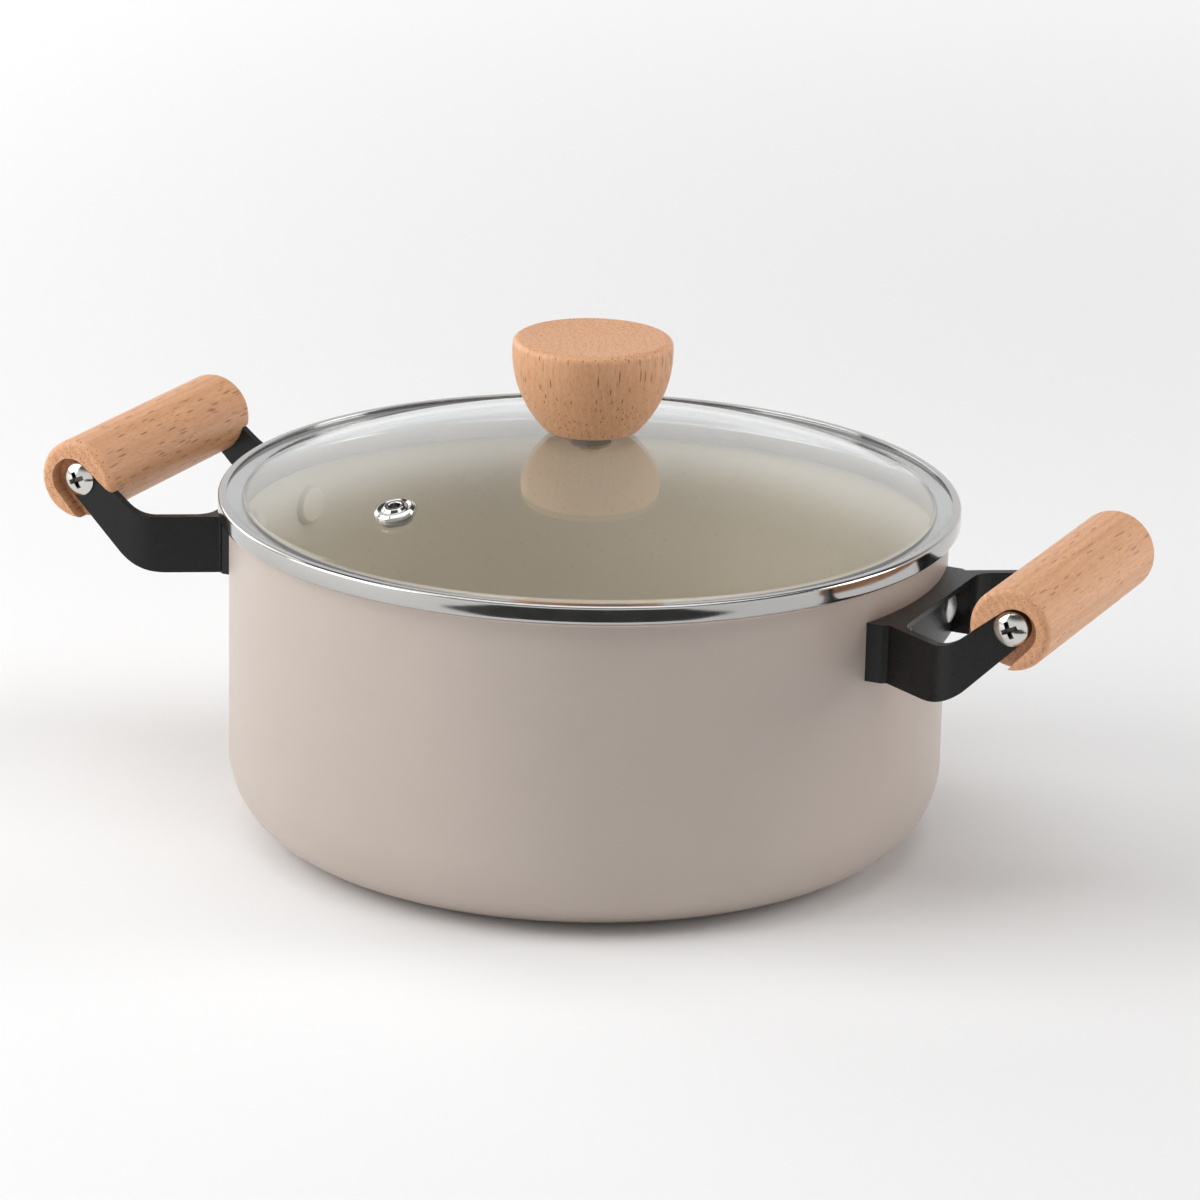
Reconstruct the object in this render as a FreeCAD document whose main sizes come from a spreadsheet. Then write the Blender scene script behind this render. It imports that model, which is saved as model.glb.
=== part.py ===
import FreeCAD, Part
import Sketcher
import math
import os

# Two-handled stew pot with a riveted bracket and a turned wooden grip on each side,
# and a domed glass lid in a rolled steel ring with a wooden knob and a steam vent.
# Millimetres, +Z up, handles along X, origin at the centre of the flat base.

SIZES = {
    # pot
    "wall_radius": 122.2,
    "wall_thickness": 2.3,
    "floor_thickness": 3.0,
    "corner_radius": 27.0,
    "rim_height": 111.8,
    "rim_radius": 123.3,
    "rim_band": 1.6,
    "plate_radius": 84.0,
    "plate_thickness": 0.8,
    # lid glass
    "glass_radius": 125.3,
    "glass_thickness": 4.0,
    "flange_top": 116.8,
    "dome_radius": 117.5,
    "dome_top": 138.7,
    "glass_bend": 6.0,
    "centre_hole": 4.2,
    # lid ring
    "ring_radius": 126.0,
    "ring_sheet": 0.6,
    "ring_lip": 2.9,
    "ring_bead": 2.1,
    "ring_bottom": 110.9,
    "skirt_radius": 117.1,
    "skirt_bottom": 105.3,
    # steam vent
    "vent_distance": 86.5,
    "vent_hole": 2.1,
    "vent_barrel": 3.5,
    "vent_flange": 7.0,
    "vent_height": 2.6,
    "vent_seal": 5.6,
    # knob and its fastening
    "knob_base": 140.2,
    "knob_top": 172.1,
    "knob_dish": 0.6,
    "knob_foot_radius": 15.7,
    "knob_rim_radius": 26.9,
    "knob_side_curve": 38.0,
    "knob_bore_depth": 18.0,
    "insert_radius": 4.2,
    "insert_depth": 17.0,
    "washer_radius": 7.0,
    "steel_washer_radius": 6.8,
    "steel_washer": 0.9,
    "thread_radius": 2.5,
    "knob_screw_head": 4.8,
    "knob_screw_height": 2.7,
    "knob_screw_length": 24.0,
    # handle brackets
    "bracket_bottom": 79.5,
    "bracket_top": 99.5,
    "bracket_face": 129.3,
    "bracket_half_width": 35.2,
    "arm_half_span": 47.5,
    "arm_thickness": 3.2,
    "arm_tip_radius": 5.8,
    "web_radius": 125.7,
    "recess_half_width": 27.0,
    "recess_lip": 1.8,
    # grips and their screws
    "grip_x": 172.0,
    "grip_z": 109.8,
    "grip_radius": 13.9,
    "grip_length": 100.2,
    "grip_edge": 2.5,
    "sleeve_radius": 4.2,
    "slot_radius": 7.4,
    "slot_reach": 2.0,
    "grip_screw_head": 5.8,
    "grip_screw_height": 3.0,
    "grip_screw_length": 22.0,
    # rivets
    "rivet_z": 90.5,
    "rivet_shank": 3.0,
    "rivet_outer_head": 5.6,
    "rivet_outer_height": 2.4,
    "rivet_inner_head": 6.8,
    "rivet_inner_height": 1.9,
}

# Directions, in degrees.
RIVET_ANGLE = 9.6
VENT_ANGLE = -112.5
ARM_SPLAY = 30.0
ARM_UPPER_SLOPE = 38.5
ARM_LOWER_SLOPE = 45.0
SLOT_LOWER_SLOPE = 48.0

FAR = 60.0          # long enough to reach past a bracket
OVERSHOOT = 5.0     # how far a cutting shape stands out of what it cuts
CLEARANCE = 0.1     # room round a screw's thread
SEAM_GAP = 0.1      # room between a flat washer and the curved glass
SEAL_FILM = 0.08    # room for the film of sealant between the glass and its steel ring

doc = FreeCAD.newDocument("StewPot")
sheet = doc.addObject("Spreadsheet::Sheet", "Sizes")
for row, (alias, number) in enumerate(SIZES.items(), start=1):
    sheet.set(f"A{row}", alias)
    sheet.set(f"B{row}", str(number))
    sheet.setAlias(f"B{row}", alias)
doc.recompute()


class Size:
    """A length: its number, and the sheet expression that gives it."""

    def __init__(self, number, text):
        self.number = number
        self.text = text

    @staticmethod
    def of(value):
        if isinstance(value, Size):
            return value
        return Size(float(value), f"{float(value):.6f}")

    def __add__(self, other):
        other = Size.of(other)
        return Size(self.number + other.number, f"({self.text} + {other.text})")

    def __sub__(self, other):
        other = Size.of(other)
        return Size(self.number - other.number, f"({self.text} - {other.text})")

    def __mul__(self, factor):
        factor = Size.of(factor)
        return Size(self.number * factor.number, f"({self.text} * {factor.text})")

    def __truediv__(self, divisor):
        divisor = Size.of(divisor)
        return Size(self.number / divisor.number, f"({self.text} / {divisor.text})")

    def __neg__(self):
        return Size(-self.number, f"(0 - {self.text})")


def size(alias):
    return Size(SIZES[alias], f"Sizes.{alias}")


def bind(thing, **properties):
    """Tie each property of a document object to an expression on the sheet."""
    for name, value in properties.items():
        value = Size.of(value)
        setattr(thing, name, value.number)
        thing.setExpression(name, value.text)


# ---------------------------------------------------------------- sketches


def root(value):
    return Size(math.sqrt(value.number), f"sqrt({value.text})")


def corner(x, y, curve=None):
    """A corner of an outline, and the radius of the edge that leaves it.

    A positive curve bulges to the right of the way round; None is a straight edge.
    """
    return Size.of(x), Size.of(y), curve


def curved_edge(start, end, curve):
    """An arc between two points, written counter-clockwise as sketches keep them."""
    radius = Size.of(curve).number
    chord = end - start
    left = FreeCAD.Vector(-chord.y, chord.x, 0).normalize()
    depth = math.sqrt(radius ** 2 - (chord.Length / 2) ** 2)
    rise = math.copysign(abs(radius) - depth, radius)
    middle = (start + end) * 0.5 - left * rise
    if radius > 0:
        return Part.Arc(start, middle, end)
    return Part.Arc(end, middle, start)


def end_at(sketch, edge, place):
    """1 for the start or 2 for the end of an edge, whichever lies at the place."""
    near = sketch.Geometry[edge].StartPoint.distanceToPoint(place) < 1e-5
    return 1 if near else 2


def outline(sketch, corners):
    """A closed loop through the corners, every corner and radius held by an expression."""
    places = [FreeCAD.Vector(x.number, y.number, 0) for x, y, curve in corners]
    held = []
    edges = []
    for k, (x, y, curve) in enumerate(corners):
        start = places[k]
        end = places[(k + 1) % len(places)]
        if curve is None:
            edges.append(sketch.addGeometry(Part.LineSegment(start, end), False))
        else:
            edges.append(sketch.addGeometry(curved_edge(start, end, curve), False))
            radius = Size.of(curve)
            radius = radius if radius.number > 0 else -radius
            held.append((Sketcher.Constraint("Radius", edges[k], radius.number), radius.text))
    for k, (x, y, curve) in enumerate(corners):
        leaving = (edges[k], end_at(sketch, edges[k], places[k]))
        arriving = (edges[k - 1], end_at(sketch, edges[k - 1], places[k]))
        held.append((Sketcher.Constraint("Coincident", *arriving, *leaving), None))
        for kind, value, axis in (("DistanceX", x, -2), ("DistanceY", y, -1)):
            if value.number == 0:
                held.append((Sketcher.Constraint("PointOnObject", *leaving, axis), None))
            else:
                distance = Sketcher.Constraint(kind, -1, 1, *leaving, value.number)
                held.append((distance, value.text))
    sketch.addConstraint([constraint for constraint, text in held])
    for index, (constraint, text) in enumerate(held):
        if text is not None:
            sketch.setExpression(f"Constraints[{index}]", text)


def new_sketch(body, plane_role, name):
    sketch = body.newObject("Sketcher::SketchObject", name)
    plane = next(p for p in body.Origin.OriginFeatures if p.Role == plane_role)
    sketch.AttachmentSupport = [(plane, "")]
    sketch.MapMode = "FlatFace"
    return sketch


# ---------------------------------------------------------------- ways of making a piece

def turned(name, corners, roundings=()):
    """A piece turned about its own Z axis, from an outline of radius and height."""
    body = doc.addObject("PartDesign::Body", name)
    sketch = new_sketch(body, "XZ_Plane", f"{name}_section")
    outline(sketch, corners)
    turn = body.newObject("PartDesign::Revolution", f"{name}_turn")
    turn.Profile = sketch
    turn.ReferenceAxis = (sketch, ["V_Axis"])
    turn.Angle = 360.0
    sketch.Visibility = False
    for rounding, places in roundings:
        round_edges(body, rounding, [hoop(*place) for place in places])
    body.Label = name
    return body


def padded(name, plane_role, corners, height, lift=None, middle=False):
    """A prism: an outline on one of the body's planes, padded to a height."""
    body = doc.addObject("PartDesign::Body", name)
    sketch = new_sketch(body, plane_role, f"{name}_outline")
    if lift is not None:
        sketch.AttachmentOffset = placed(0, 0, lift.number)
        sketch.setExpression("AttachmentOffset.Base.z", lift.text)
    outline(sketch, corners)
    pad = body.newObject("PartDesign::Pad", f"{name}_pad")
    pad.Profile = sketch
    bind(pad, Length=height)
    if middle:
        pad.SideType = "Symmetric"
    body.Label = name
    return body


def round_edges(body, rounding, matches):
    """Round the edges of a body's last feature that any of the matches accepts."""
    doc.recompute()
    base = body.Tip
    names = []
    for number, edge in enumerate(base.Shape.Edges, start=1):
        if any(match(edge.BoundBox) for match in matches):
            names.append(f"Edge{number}")
    if len(names) < len(matches):
        raise RuntimeError(f"{body.Label}: {len(names)} edges found for {len(matches)} roundings")
    fillet = body.newObject("PartDesign::Fillet", f"{body.Name}_rounding")
    fillet.Base = (base, names)
    bind(fillet, Radius=rounding)
    body.Tip = fillet


def hoop(radius, height):
    """Matches a circular edge about the Z axis, by its radius and height."""
    radius = Size.of(radius).number
    height = Size.of(height).number

    def match(box):
        flat = box.ZLength < 1e-3 and abs(box.ZMin - height) < 1e-3
        return flat and abs(box.XLength / 2 - radius) < 1e-3
    return match


def upright(x, y):
    """Matches a vertical edge by its place in plan."""
    def match(box):
        slim = box.XLength < 1e-3 and box.YLength < 1e-3
        return slim and abs(box.Center.x - x.number) < 1e-3 and abs(box.Center.y - y.number) < 1e-3
    return match


def across(x, z):
    """Matches an edge along Y by its place seen from the side."""
    def match(box):
        slim = box.XLength < 1e-3 and box.ZLength < 1e-3
        return slim and abs(box.Center.x - x.number) < 1e-3 and abs(box.Center.z - z.number) < 1e-3
    return match


def cap_curve(reach, rise):
    """Radius of a rounded cap that reaches out from its axis and rises by these amounts."""
    return (reach * reach + rise * rise) / (rise * 2)


def cylinder(name, radius, height, placement=None):
    rod = doc.addObject("Part::Cylinder", name)
    bind(rod, Radius=radius, Height=height)
    if placement is not None:
        rod.Placement = placement
    return rod


def cut(name, base, tools):
    """The base less every tool."""
    joined = tools[0]
    if len(tools) > 1:
        joined = doc.addObject("Part::MultiFuse", f"{name}_tools")
        joined.Shapes = tools
    result = doc.addObject("Part::Cut", name)
    result.Base = base
    result.Tool = joined
    result.Label = name
    return result


def group(name, members):
    """Identical pieces kept together in one node."""
    together = doc.addObject("Part::Compound", name)
    together.Links = members
    together.Label = name
    return together


def placed(x, y, z, axis=(0, 0, 1), degrees=0.0):
    return FreeCAD.Placement(FreeCAD.Vector(x, y, z), FreeCAD.Rotation(FreeCAD.Vector(*axis), degrees))


def radial(angle, height):
    """Local +Z points out along the radius at the angle; the local origin is on the pot's axis."""
    outward = FreeCAD.Vector(math.cos(math.radians(angle)), math.sin(math.radians(angle)), 0)
    return FreeCAD.Placement(
        FreeCAD.Vector(0, 0, height), FreeCAD.Rotation(FreeCAD.Vector(0, 0, 1), outward))


# ---------------------------------------------------------------- pot

wall = size("wall_radius")
wall_sheet = size("wall_thickness")
inner = wall - wall_sheet
floor = size("floor_thickness")
rim = size("rim_height")
rim_radius = size("rim_radius")
rim_band = size("rim_band")
plate_radius = size("plate_radius")
plate = size("plate_thickness")
rivet_z = size("rivet_z")
rivet_shank = size("rivet_shank")
web = size("web_radius")
SIDES = {"right": 0.0, "left": 180.0}


def rivet_angles(turn):
    return (turn - RIVET_ANGLE, turn + RIVET_ANGLE)


def rivet_drills(name, turn):
    """Cutters for the two rivet holes of the handle that points this way."""
    drills = []
    for number, angle in enumerate(rivet_angles(turn), start=1):
        drill = cylinder(f"{name}_rivet_drill_{number}", rivet_shank, wall + FAR)
        drill.Placement = radial(angle, rivet_z.number)
        drills.append(drill)
    return drills


def make_pot_shell():
    bend = size("corner_radius")
    shell = turned("pot_shell_blank", [
        corner(0, plate),
        corner(plate_radius, plate),
        corner(plate_radius, 0),
        corner(wall, 0),
        corner(wall, rim - rim_band - 0.8),
        corner(rim_radius, rim - rim_band),
        corner(rim_radius, rim),
        corner(inner, rim),
        corner(inner, floor),
        corner(0, floor),
    ], [
        (bend, [(wall, 0)]),
        (bend - wall_sheet, [(inner, floor)]),
        (0.6, [(rim_radius, rim), (inner, rim)]),
    ])
    drills = []
    for side, turn in SIDES.items():
        drills += rivet_drills(f"pot_shell_{side}", turn)
    return cut("pot_shell", shell, drills)


def make_induction_plate():
    return turned("induction_plate", [
        corner(0, 0),
        corner(plate_radius, 0),
        corner(plate_radius, plate),
        corner(0, plate),
    ])


# ---------------------------------------------------------------- handles

arm_span = size("arm_half_span")
arm_sheet = size("arm_thickness")
grip_x = size("grip_x")
grip_z = size("grip_z")
face = size("bracket_face")
half_width = size("bracket_half_width")
bottom = size("bracket_bottom")
top = size("bracket_top")
tip = size("arm_tip_radius")
arm_end = grip_x + tip + 1.0
thread = size("thread_radius")


def slope(degrees):
    return math.tan(math.radians(degrees))


def bracket_plan():
    """The bracket seen from above: a root on the wall and two arms that splay, then run straight."""
    splay = slope(ARM_SPLAY)
    root_x = face - 5.1
    root_y = half_width - 1.2
    bend_x = root_x + (arm_span - root_y) / splay
    inner_offset = arm_sheet / math.cos(math.radians(ARM_SPLAY))
    inner_span = arm_span - arm_sheet
    inner_bend_x = root_x + (inner_span - root_y + inner_offset) / splay
    inner_root_y = root_y - inner_offset + (face - root_x) * splay
    half = [
        (wall - 12.2, half_width, None),
        (root_x - 1.4, half_width, 0.8),
        (root_x, root_y, 0.8),
        (bend_x, arm_span, 20.0),
        (arm_end, arm_span, None),
        (arm_end, inner_span, None),
        (inner_bend_x, inner_span, 16.8),
        (face, inner_root_y, 8.0),
    ]
    lower = [corner(x, -y) for x, y, rounding in half]
    upper = [corner(x, y) for x, y, rounding in reversed(half)]
    roundings = [(x, y, rounding) for x, y, rounding in half if rounding is not None]
    return lower + upper, roundings


def wedge_end(centre_x, centre_z, radius, upper_slope, lower_slope):
    """Where two sloping edges touch a round end: the upper and the lower point."""
    up = math.radians(90 + upper_slope)
    down = math.radians(lower_slope - 90)
    upper = (centre_x + radius * math.cos(up), centre_z + radius * math.sin(up))
    lower = (centre_x + radius * math.cos(down), centre_z + radius * math.sin(down))
    return upper, lower


def bracket_side():
    """The bracket seen along the grip: level at the wall, then rising to a round tip."""
    upper, lower = wedge_end(grip_x, grip_z, tip, ARM_UPPER_SLOPE, ARM_LOWER_SLOPE)
    lower_bend = lower[0] - (lower[1] - bottom) / slope(ARM_LOWER_SLOPE)
    upper_bend = upper[0] - (upper[1] - top) / slope(ARM_UPPER_SLOPE)
    start = wall - 20.0
    corners = [
        corner(start, bottom),
        corner(lower_bend, bottom),
        corner(lower[0], lower[1], curve=tip),
        corner(upper[0], upper[1]),
        corner(upper_bend, top),
        corner(start, top),
    ]
    return corners, [(24.0, lower_bend, bottom), (16.0, upper_bend, top)]


def make_bracket(side, turn):
    name = f"bracket_{side}"
    corners, roundings = bracket_plan()
    plan = padded(f"{name}_plan", "XY_Plane", corners, FAR, lift=bottom - OVERSHOOT)
    for x, y, rounding in roundings:
        round_edges(plan, rounding, [upright(x, y), upright(x, -y)])
    corners, roundings = bracket_side()
    profile = padded(f"{name}_profile", "XZ_Plane", corners, FAR * 2, middle=True)
    for rounding, x, z in roundings:
        round_edges(profile, rounding, [across(x, z)])
    strap = doc.addObject("Part::Common", f"{name}_strap")
    strap.Base = plan
    strap.Tool = profile
    below = bottom.number - OVERSHOOT
    barrel = cylinder(f"{name}_barrel", wall, FAR, placed(0, 0, below))
    recess = size("recess_half_width")
    block = doc.addObject("Part::Box", f"{name}_recess_block")
    bind(block, Length=20.0, Width=recess * 2, Height=top - bottom - size("recess_lip") + OVERSHOOT)
    block.Placement = placed(wall.number - 8.0, -recess.number, below)
    web_core = cylinder(f"{name}_web_core", web, FAR, placed(0, 0, below - OVERSHOOT))
    pocket = cut(f"{name}_pocket", block, [web_core])
    screw_drill = cylinder(f"{name}_screw_drill", thread + CLEARANCE, (arm_span + OVERSHOOT) * 2)
    screw_drill.Placement = placed(
        grip_x.number, arm_span.number + OVERSHOOT, grip_z.number, (1, 0, 0), 90)
    bracket = cut(name, strap, [barrel, pocket, *rivet_drills(name, 0.0), screw_drill])
    bracket.Placement = placed(0, 0, 0, degrees=turn)
    return bracket


def make_rivets(side, turn):
    shank_start = inner - 0.25
    outer_height = size("rivet_outer_height")
    outer_head = size("rivet_outer_head")
    inner_head = size("rivet_inner_head")
    inner_height = size("rivet_inner_height")
    skirt_height = 0.6
    members = []
    for number, angle in enumerate(rivet_angles(turn), start=1):
        rivet = turned(f"rivet_{side}_{number}", [
            corner(0, shank_start - inner_height),
            corner(inner_head - 0.8, shank_start - inner_height),
            corner(inner_head, shank_start),
            corner(rivet_shank, shank_start),
            corner(rivet_shank, web),
            corner(outer_head, web),
            corner(outer_head, web + skirt_height, curve=cap_curve(outer_head, outer_height - skirt_height)),
            corner(0, web + outer_height),
        ], [
            (0.7, [(inner_head - 0.8, shank_start - inner_height)]),
        ])
        rivet.Placement = radial(angle, rivet_z.number)
        members.append(rivet)
    return group(f"rivets_{side}", members)


def slot_outline():
    """The slot in a grip's end, open towards the pot and a little wider than the arm."""
    radius = size("slot_radius")
    upper, lower = wedge_end(size("slot_reach"), Size.of(0), radius, ARM_UPPER_SLOPE, SLOT_LOWER_SLOPE)
    run = 26.0
    upper_far = (upper[0] - run * math.cos(math.radians(ARM_UPPER_SLOPE)),
                 upper[1] - run * math.sin(math.radians(ARM_UPPER_SLOPE)))
    lower_far = (lower[0] - run * math.cos(math.radians(SLOT_LOWER_SLOPE)),
                 lower[1] - run * math.sin(math.radians(SLOT_LOWER_SLOPE)))
    return [
        corner(lower_far[0], lower_far[1]),
        corner(lower[0], lower[1], curve=radius),
        corner(upper[0], upper[1]),
        corner(upper_far[0], upper_far[1]),
    ]


def make_grip(side, turn):
    name = f"grip_{side}"
    length = size("grip_length")
    radius = size("grip_radius")
    edge = size("grip_edge")
    bore = size("sleeve_radius")
    half = length / 2
    blank = turned(f"{name}_blank", [
        corner(bore, -half),
        corner(radius, -half),
        corner(radius, half),
        corner(bore, half),
    ], [
        (edge, [(radius, -half), (radius, half)]),
    ])
    blank.Placement = placed(0, 0, 0, (1, 0, 0), 90)
    depth = half - arm_span + arm_sheet
    slots = []
    for end in (-1, 1):
        word = "front" if end < 0 else "back"
        slot = padded(f"{name}_slot_{word}", "XZ_Plane", slot_outline(), depth + 2.0, middle=True)
        reach = half.number - (depth.number + 2.0) / 2 + 2.0
        slot.Placement = placed(0, end * reach, 0)
        slots.append(slot)
    grip = cut(name, blank, slots)
    grip.Placement = side_placement(turn, 0.0)
    return grip


def side_placement(turn, along):
    """On a handle's grip axis, at a distance along it, on the right or the left of the pot."""
    whole = placed(0, 0, 0, degrees=turn)
    return whole.multiply(placed(grip_x.number, along, grip_z.number))


def make_grip_sleeve(side, turn):
    outside = size("sleeve_radius")
    half = arm_span - arm_sheet
    sleeve = turned(f"grip_sleeve_{side}", [
        corner(thread, -half),
        corner(outside, -half),
        corner(outside, half),
        corner(thread, half),
    ])
    sleeve.Placement = side_placement(turn, 0.0).multiply(placed(0, 0, 0, (1, 0, 0), 90))
    return sleeve


def make_screw(name, head_radius, head_height, length):
    """A cross-head screw along Z: the head sits on the plane z = 0 and the shank points down."""
    skirt_height = 0.9
    blank = turned(f"{name}_blank", [
        corner(0, -length),
        corner(thread - 0.5, -length),
        corner(thread, -length + 0.8),
        corner(thread, 0),
        corner(head_radius, 0),
        corner(head_radius, skirt_height, curve=cap_curve(head_radius, head_height - skirt_height)),
        corner(0, head_height),
    ])
    blades = []
    for number, degrees in enumerate((0.0, 90.0), start=1):
        blade = doc.addObject("Part::Box", f"{name}_blade_{number}")
        bind(blade, Length=head_radius, Width=1.1, Height=head_height)
        centre = FreeCAD.Vector(-head_radius.number / 2, -0.55, head_height.number - 1.7)
        blade.Placement = placed(0, 0, 0, degrees=degrees).multiply(
            FreeCAD.Placement(centre, FreeCAD.Rotation()))
        blades.append(blade)
    return cut(name, blank, blades)


def make_grip_screws(side, turn):
    members = []
    for number, end in enumerate((-1, 1), start=1):
        screw = make_screw(f"grip_screw_{side}_{number}", size("grip_screw_head"),
                           size("grip_screw_height"), size("grip_screw_length"))
        twist = placed(0, 0, 0, degrees=20.0 + 35.0 * number)
        lie = placed(0, 0, 0, (1, 0, 0), -90.0 * end)
        screw.Placement = side_placement(turn, end * arm_span.number).multiply(lie).multiply(twist)
        members.append(screw)
    return group(f"grip_screws_{side}", members)


# ---------------------------------------------------------------- lid

flange_top = size("flange_top")
glass_sheet = size("glass_thickness")
flange_bottom = flange_top - glass_sheet
dome_radius = size("dome_radius")
dome_top = size("dome_top")
centre_hole = size("centre_hole")
vent_barrel = size("vent_barrel")
GLASS_INSET = 0.75   # the inside of the bend lies this much nearer the axis


def dome_curve(reach, rise):
    """Radius of a dome from its centre hole to its foot, centred on the lid's axis."""
    depth = (reach * reach - centre_hole * centre_hole + rise * rise) / (rise * 2)
    return root(centre_hole * centre_hole + depth * depth)


def vent_placement():
    """Local +Z leaves the glass at right angles; the local origin is on the outer surface."""
    distance = size("vent_distance").number
    radius = dome_curve(dome_radius, dome_top - flange_top).number
    sphere_z = dome_top.number - math.sqrt(radius ** 2 - centre_hole.number ** 2)
    height = sphere_z + math.sqrt(radius ** 2 - distance ** 2)
    east = math.cos(math.radians(VENT_ANGLE))
    north = math.sin(math.radians(VENT_ANGLE))
    place = FreeCAD.Vector(distance * east, distance * north, height)
    normal = FreeCAD.Vector(place.x, place.y, height - sphere_z)
    return FreeCAD.Placement(place, FreeCAD.Rotation(FreeCAD.Vector(0, 0, 1), normal))


def make_lid_glass():
    glass_edge = size("glass_radius")
    inside_radius = dome_radius - GLASS_INSET
    rise = dome_top - flange_top
    blank = turned("lid_glass_blank", [
        corner(centre_hole, dome_top - glass_sheet, curve=-dome_curve(inside_radius, rise)),
        corner(inside_radius, flange_bottom),
        corner(glass_edge, flange_bottom),
        corner(glass_edge, flange_top),
        corner(dome_radius, flange_top, curve=dome_curve(dome_radius, rise)),
        corner(centre_hole, dome_top),
    ], [
        (size("glass_bend"), [(dome_radius, flange_top), (inside_radius, flange_bottom)]),
        (1.0, [(glass_edge, flange_bottom), (glass_edge, flange_top)]),
    ])
    drill = cylinder("vent_drill", vent_barrel + SEAM_GAP, 20.0)
    drill.Placement = vent_placement().multiply(placed(0, 0, -10.0))
    return cut("lid_glass", blank, [drill])


def make_lid_ring():
    ring = size("ring_radius")
    sheet_metal = size("ring_sheet")
    lip = size("ring_lip")
    bead = size("ring_bead")
    low = size("ring_bottom")
    skirt = size("skirt_radius")
    skirt_bottom = size("skirt_bottom")
    shelf = flange_bottom - SEAL_FILM
    lip_bottom = flange_top + SEAL_FILM
    seat = shelf - sheet_metal
    lip_top = lip_bottom + sheet_metal
    return turned("lid_ring", [
        corner(ring - lip, lip_bottom),
        corner(ring - lip, lip_top),
        corner(ring, lip_top),
        corner(ring, low),
        corner(ring - bead, low),
        corner(ring - bead, seat),
        corner(skirt, seat),
        corner(skirt, skirt_bottom),
        corner(skirt - sheet_metal, skirt_bottom),
        corner(skirt - sheet_metal, shelf),
        corner(ring - sheet_metal, shelf),
        corner(ring - sheet_metal, lip_bottom),
    ], [
        (1.4, [(ring, low)]),
        (1.1, [(ring, lip_top), (skirt - sheet_metal, shelf)]),
        (0.5, [(ring - bead, low), (skirt, seat)]),
        (0.25, [(ring - lip, lip_top)]),
    ])


def make_vent_eyelet():
    hole = size("vent_hole")
    flange = size("vent_flange")
    height = size("vent_height")
    under = -(glass_sheet + 1.0)
    flare = size("vent_seal") - 0.3
    brow = flange - 1.2
    valley = vent_barrel + 0.9
    crest = vent_barrel - 0.1
    eyelet = turned("vent_eyelet", [
        corner(hole, under - 0.6),
        corner(flare, under - 0.6),
        corner(flare, under),
        corner(vent_barrel, under),
        corner(vent_barrel, 0),
        corner(flange, 0),
        corner(flange, 1.0),
        corner(brow, height - 0.7),
        corner(valley, height - 1.1),
        corner(crest, height),
        corner(hole, height),
    ], [
        (0.45, [(crest, height), (hole, height), (brow, height - 0.7), (flange, 1.0)]),
        (0.25, [(valley, height - 1.1), (flare, under - 0.6)]),
    ])
    eyelet.Placement = vent_placement()
    return eyelet


def make_vent_seal():
    under = -(glass_sheet + 1.0)
    seal = size("vent_seal")
    ring = turned("vent_seal", [
        corner(vent_barrel, under),
        corner(seal, under),
        corner(seal, -glass_sheet - SEAM_GAP),
        corner(vent_barrel, -glass_sheet - SEAM_GAP),
    ])
    ring.Placement = vent_placement()
    return ring


def make_knob():
    base = size("knob_base")
    crown = size("knob_top")
    bore = size("insert_radius")
    foot = size("knob_foot_radius")
    brim = size("knob_rim_radius")
    depth = size("knob_bore_depth")
    dish = size("knob_dish")
    return turned("knob", [
        corner(0, base + depth),
        corner(bore, base + depth),
        corner(bore, base),
        corner(foot, base, curve=size("knob_side_curve")),
        corner(brim, crown, curve=-(brim * brim + dish * dish) / (dish * 2)),
        corner(0, crown - dish),
    ], [
        (2.4, [(brim, crown), (foot, base)]),
    ])


def make_knob_insert():
    base = size("knob_base") + 0.6
    outside = size("insert_radius")
    return turned("knob_insert", [
        corner(thread, base),
        corner(outside, base),
        corner(outside, base + size("insert_depth")),
        corner(thread, base + size("insert_depth")),
    ])


under_glass = dome_top - glass_sheet - SEAM_GAP
gasket_bottom = under_glass - 1.4
steel_bottom = gasket_bottom - size("steel_washer")


def make_knob_seat():
    outside = size("washer_radius")
    return turned("knob_seat_washer", [
        corner(thread + CLEARANCE, dome_top),
        corner(outside, dome_top),
        corner(outside, size("knob_base")),
        corner(thread + CLEARANCE, size("knob_base")),
    ])


def make_knob_gasket():
    outside = size("washer_radius")
    sleeve = centre_hole - SEAM_GAP
    return turned("knob_gasket", [
        corner(thread + CLEARANCE, gasket_bottom),
        corner(outside, gasket_bottom),
        corner(outside, under_glass),
        corner(sleeve, under_glass),
        corner(sleeve, dome_top - SEAM_GAP),
        corner(thread + CLEARANCE, dome_top - SEAM_GAP),
    ])


def make_knob_washer():
    outside = size("steel_washer_radius")
    return turned("knob_washer", [
        corner(thread + CLEARANCE, steel_bottom),
        corner(outside, steel_bottom),
        corner(outside, gasket_bottom),
        corner(thread + CLEARANCE, gasket_bottom),
    ])


def make_knob_screw():
    screw = make_screw("knob_screw", size("knob_screw_head"), size("knob_screw_height"),
                       size("knob_screw_length"))
    screw.Placement = placed(0, 0, steel_bottom.number, (1, 0, 0), 180)
    return screw


# ---------------------------------------------------------------- build, check and write

pieces = [make_pot_shell(), make_induction_plate()]
for side, turn in SIDES.items():
    pieces.append(make_bracket(side, turn))
    pieces.append(make_rivets(side, turn))
    pieces.append(make_grip(side, turn))
    pieces.append(make_grip_sleeve(side, turn))
    pieces.append(make_grip_screws(side, turn))
pieces += [make_lid_glass(), make_lid_ring(), make_vent_eyelet(), make_vent_seal()]
pieces += [make_knob(), make_knob_insert(), make_knob_seat(), make_knob_gasket()]
pieces += [make_knob_washer(), make_knob_screw()]
doc.recompute()

faults = [thing.Label for thing in doc.Objects if {"Invalid", "Error"} & set(thing.State)]
faults += [piece.Label for piece in pieces if piece.Shape.isNull() or not piece.Shape.isValid()]
if faults:
    raise RuntimeError(f"these objects failed: {faults}")

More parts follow.
